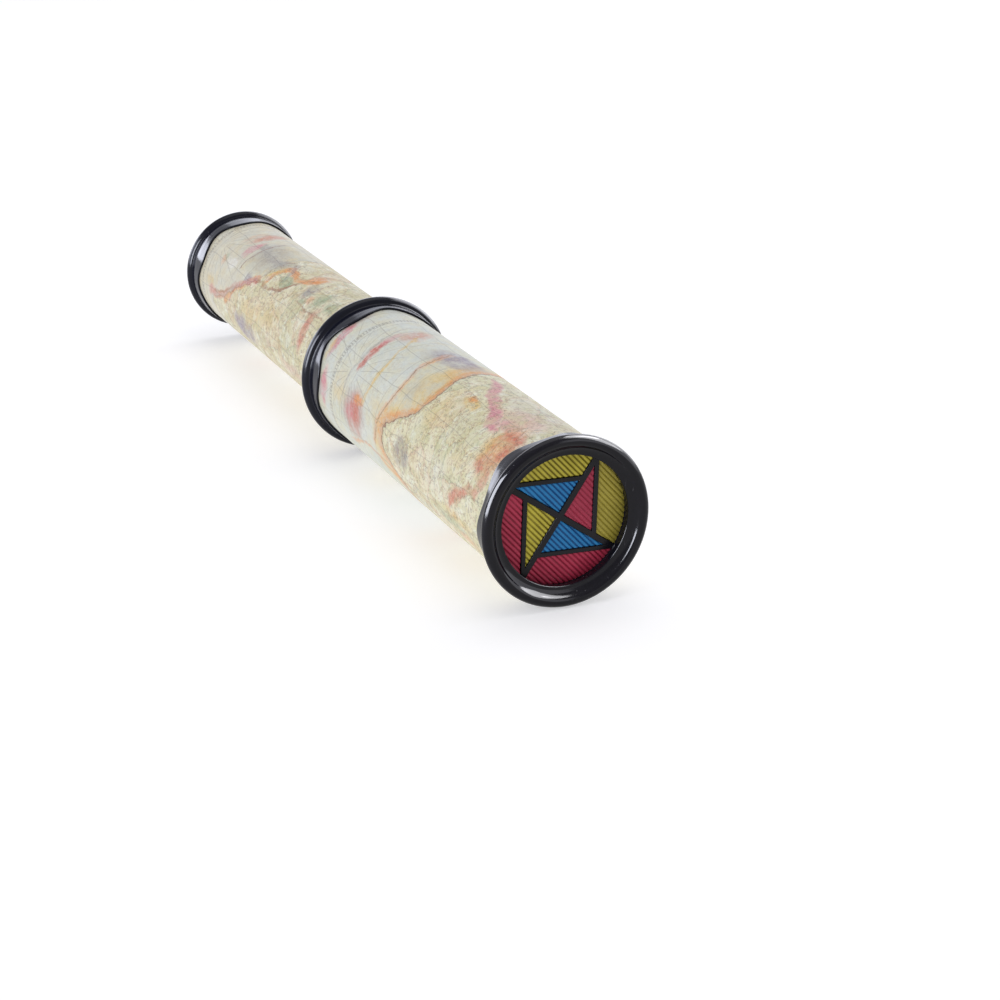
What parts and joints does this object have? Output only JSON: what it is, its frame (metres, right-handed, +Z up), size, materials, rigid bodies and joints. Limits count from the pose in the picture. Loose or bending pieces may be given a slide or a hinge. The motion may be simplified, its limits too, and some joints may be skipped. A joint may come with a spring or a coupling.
{
  "type": "kaleidoscope",
  "caption": "Telescoping toy kaleidoscope lying on its side, drawn out: two paper-covered card tubes, black scalloped plastic caps, and a leaded coloured disc at the front.",
  "frame": {"origin": "on the surface it lies on, under the middle of its drawn-out length", "axes": "+X along the tubes from the coloured front disc to the eyepiece, +Z up, so +Y is to the left when looking from the front disc towards the eyepiece; the tube axis is 27.5 mm above the origin"},
  "size_m": [0.3138, 0.055, 0.055],
  "materials": {
    "black_gloss_plastic": "gloss",
    "black_leading_plastic": "satin",
    "yellow_tinted_plastic": "gloss",
    "red_tinted_plastic": "gloss",
    "blue_tinted_plastic": "gloss",
    "frosted_plastic": "satin",
    "clear_plastic": "gloss",
    "mirrored_plastic": "polished",
    "white_plastic": "satin",
    "grey_card": "matte",
    "printed_paper_outer": "satin",
    "printed_paper_inner": "satin",
    "black_felt": "matte"
  },
  "bodies": {
    "barrel": {"front_cap": "black_gloss_plastic", "leading_frame": "black_leading_plastic", "outer_pane_top_yellow": "yellow_tinted_plastic", "outer_pane_right_yellow": "yellow_tinted_plastic", "outer_pane_bottom_red": "red_tinted_plastic", "outer_pane_left_red": "red_tinted_plastic", "inner_pane_top_blue": "blue_tinted_plastic", "inner_pane_right_red": "red_tinted_plastic", "inner_pane_bottom_blue": "blue_tinted_plastic", "inner_pane_left_yellow": "yellow_tinted_plastic", "ribbed_diffuser": "frosted_plastic", "disc_retaining_sleeve": "grey_card", "outer_tube": "grey_card", "outer_tube_wrap": "printed_paper_outer", "middle_collar": "black_gloss_plastic", "extension_stop_ring": "grey_card", "collar_felt_ring": "black_felt"},
    "guide": {"guide_ring": "white_plastic"},
    "inner": {"inner_tube": "grey_card", "inner_tube_wrap": "printed_paper_inner", "front_keeper_ring": "grey_card", "rear_keeper_ring": "grey_card", "mirror_strip_1": "mirrored_plastic", "mirror_strip_2": "mirrored_plastic", "mirror_strip_3": "mirrored_plastic", "mirror_sleeve": "grey_card", "prism_ring_front": "grey_card", "prism_ring_rear": "grey_card", "eyepiece_spacer": "grey_card", "eyepiece_window": "clear_plastic", "eyepiece_cap": "black_gloss_plastic"}
  },
  "joints": [
    {"name": "tube_slide", "type": "slide", "parent": "barrel", "child": "guide", "axis": [-1, 0, 0], "range_m": [0, 0.1]},
    {"name": "tube_twist", "type": "hinge", "parent": "guide", "child": "inner", "pos_m": [-0.015, 0, 0.0275], "axis": [1, 0, 0], "continuous": true}
  ]
}
